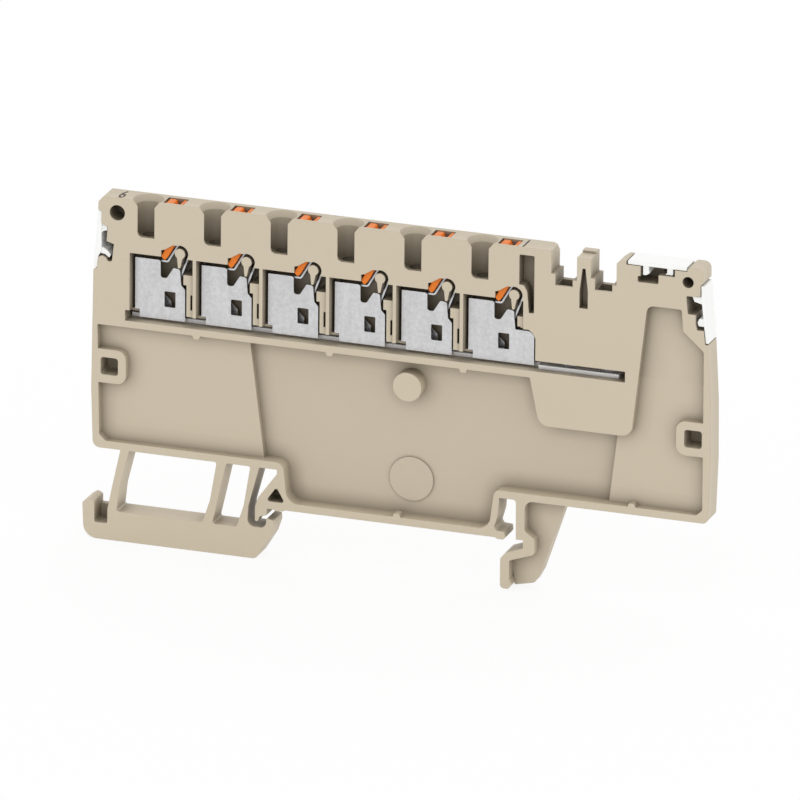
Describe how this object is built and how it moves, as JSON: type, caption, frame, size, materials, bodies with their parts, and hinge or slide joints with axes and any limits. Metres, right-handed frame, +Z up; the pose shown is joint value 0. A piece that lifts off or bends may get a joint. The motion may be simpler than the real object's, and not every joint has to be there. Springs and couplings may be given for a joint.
{
  "type": "feed-through terminal block",
  "caption": "Slim rail-mounted feed-through terminal block seen from its open side: push-in clamps with leaf springs and orange release pushers in a row over one bus bar.",
  "frame": {"origin": "middle of the 35 mm rail, on the plane where the block sits on the rail, midway through its width", "axes": "+X along the block towards the bridge slots, +Y from the open side to the closed back, +Z up off the rail"},
  "size_m": [0.088, 0.0036, 0.0483],
  "materials": {
    "housing_plastic": "moulded",
    "bus_metal": "tinned",
    "cage_metal": "bright",
    "spring_steel": "bright",
    "pusher_plastic": "moulded",
    "marker_plastic": "moulded"
  },
  "bodies": {
    "block": {"housing": "housing_plastic", "busbar": "bus_metal", "clamp_cage_1": "cage_metal", "clamp_spring_1": "spring_steel", "clamp_cage_2": "cage_metal", "clamp_spring_2": "spring_steel", "clamp_cage_3": "cage_metal", "clamp_spring_3": "spring_steel", "clamp_cage_4": "cage_metal", "clamp_spring_4": "spring_steel", "clamp_cage_5": "cage_metal", "clamp_spring_5": "spring_steel", "clamp_cage_6": "cage_metal", "clamp_spring_6": "spring_steel", "marker_left": "marker_plastic", "marker_top": "marker_plastic", "marker_right": "marker_plastic"},
    "pusher_6": {"release_pusher_6": "pusher_plastic"},
    "pusher_5": {"release_pusher_5": "pusher_plastic"},
    "pusher_4": {"release_pusher_4": "pusher_plastic"},
    "pusher_3": {"release_pusher_3": "pusher_plastic"},
    "pusher_2": {"release_pusher_2": "pusher_plastic"},
    "pusher_1": {"release_pusher_1": "pusher_plastic"}
  },
  "joints": [
    {"name": "push_6", "type": "slide", "parent": "block", "child": "pusher_6", "axis": [0, 0, -1], "range_m": [0, 0.0012], "stiffness_N_per_m": 4000, "springref_m": -0.0004, "deforming": ["clamp_spring_6"]},
    {"name": "push_5", "type": "slide", "parent": "block", "child": "pusher_5", "axis": [0, 0, -1], "range_m": [0, 0.0012], "stiffness_N_per_m": 4000, "springref_m": -0.0004, "deforming": ["clamp_spring_5"]},
    {"name": "push_4", "type": "slide", "parent": "block", "child": "pusher_4", "axis": [0, 0, -1], "range_m": [0, 0.0012], "stiffness_N_per_m": 4000, "springref_m": -0.0004, "deforming": ["clamp_spring_4"]},
    {"name": "push_3", "type": "slide", "parent": "block", "child": "pusher_3", "axis": [0, 0, -1], "range_m": [0, 0.0012], "stiffness_N_per_m": 4000, "springref_m": -0.0004, "deforming": ["clamp_spring_3"]},
    {"name": "push_2", "type": "slide", "parent": "block", "child": "pusher_2", "axis": [0, 0, -1], "range_m": [0, 0.0012], "stiffness_N_per_m": 4000, "springref_m": -0.0004, "deforming": ["clamp_spring_2"]},
    {"name": "push_1", "type": "slide", "parent": "block", "child": "pusher_1", "axis": [0, 0, -1], "range_m": [0, 0.0012], "stiffness_N_per_m": 4000, "springref_m": -0.0004, "deforming": ["clamp_spring_1"]}
  ]
}
